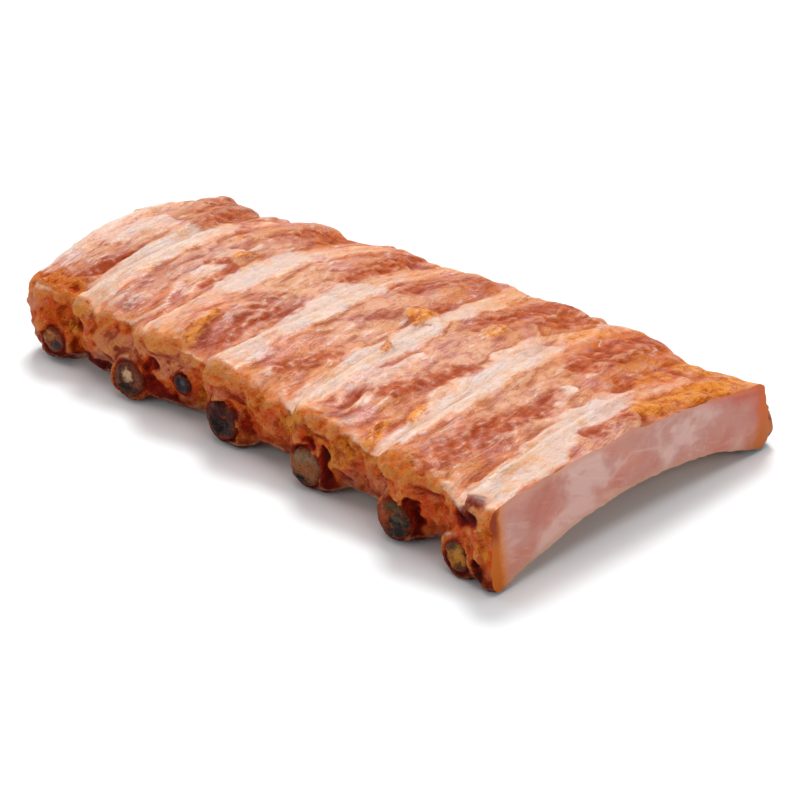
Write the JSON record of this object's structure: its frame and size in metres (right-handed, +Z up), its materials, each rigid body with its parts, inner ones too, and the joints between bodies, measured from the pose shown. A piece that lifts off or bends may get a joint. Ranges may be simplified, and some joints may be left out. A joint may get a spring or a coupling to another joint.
{
  "type": "smoked pork ribs",
  "caption": "Arched slab of smoked rib meat, rippled and glazed on top, with rib bone ends along its craggy front edge and a clean flat cut across its near end.",
  "frame": {"origin": "middle of the rack's bounding box at the level it rests on", "axes": "+X along the rack towards the flat cut face, -Y towards the craggy front edge with the large bone ends, +Z up"},
  "size_m": [0.21, 0.127, 0.0349],
  "materials": {
    "meat": "cooked smoked meat, softly glossy: pink to orange-brown with pale bands of fat and membrane",
    "bone": "smoked bone, dull tan with dark marrow"
  },
  "bodies": {
    "root": {"meat": "meat", "rib_bone_1": "bone", "rib_bone_2": "bone", "rib_bone_3": "bone", "rib_bone_4": "bone", "rib_bone_5": "bone", "rib_bone_6": "bone", "rib_bone_7": "bone"}
  },
  "joints": []
}
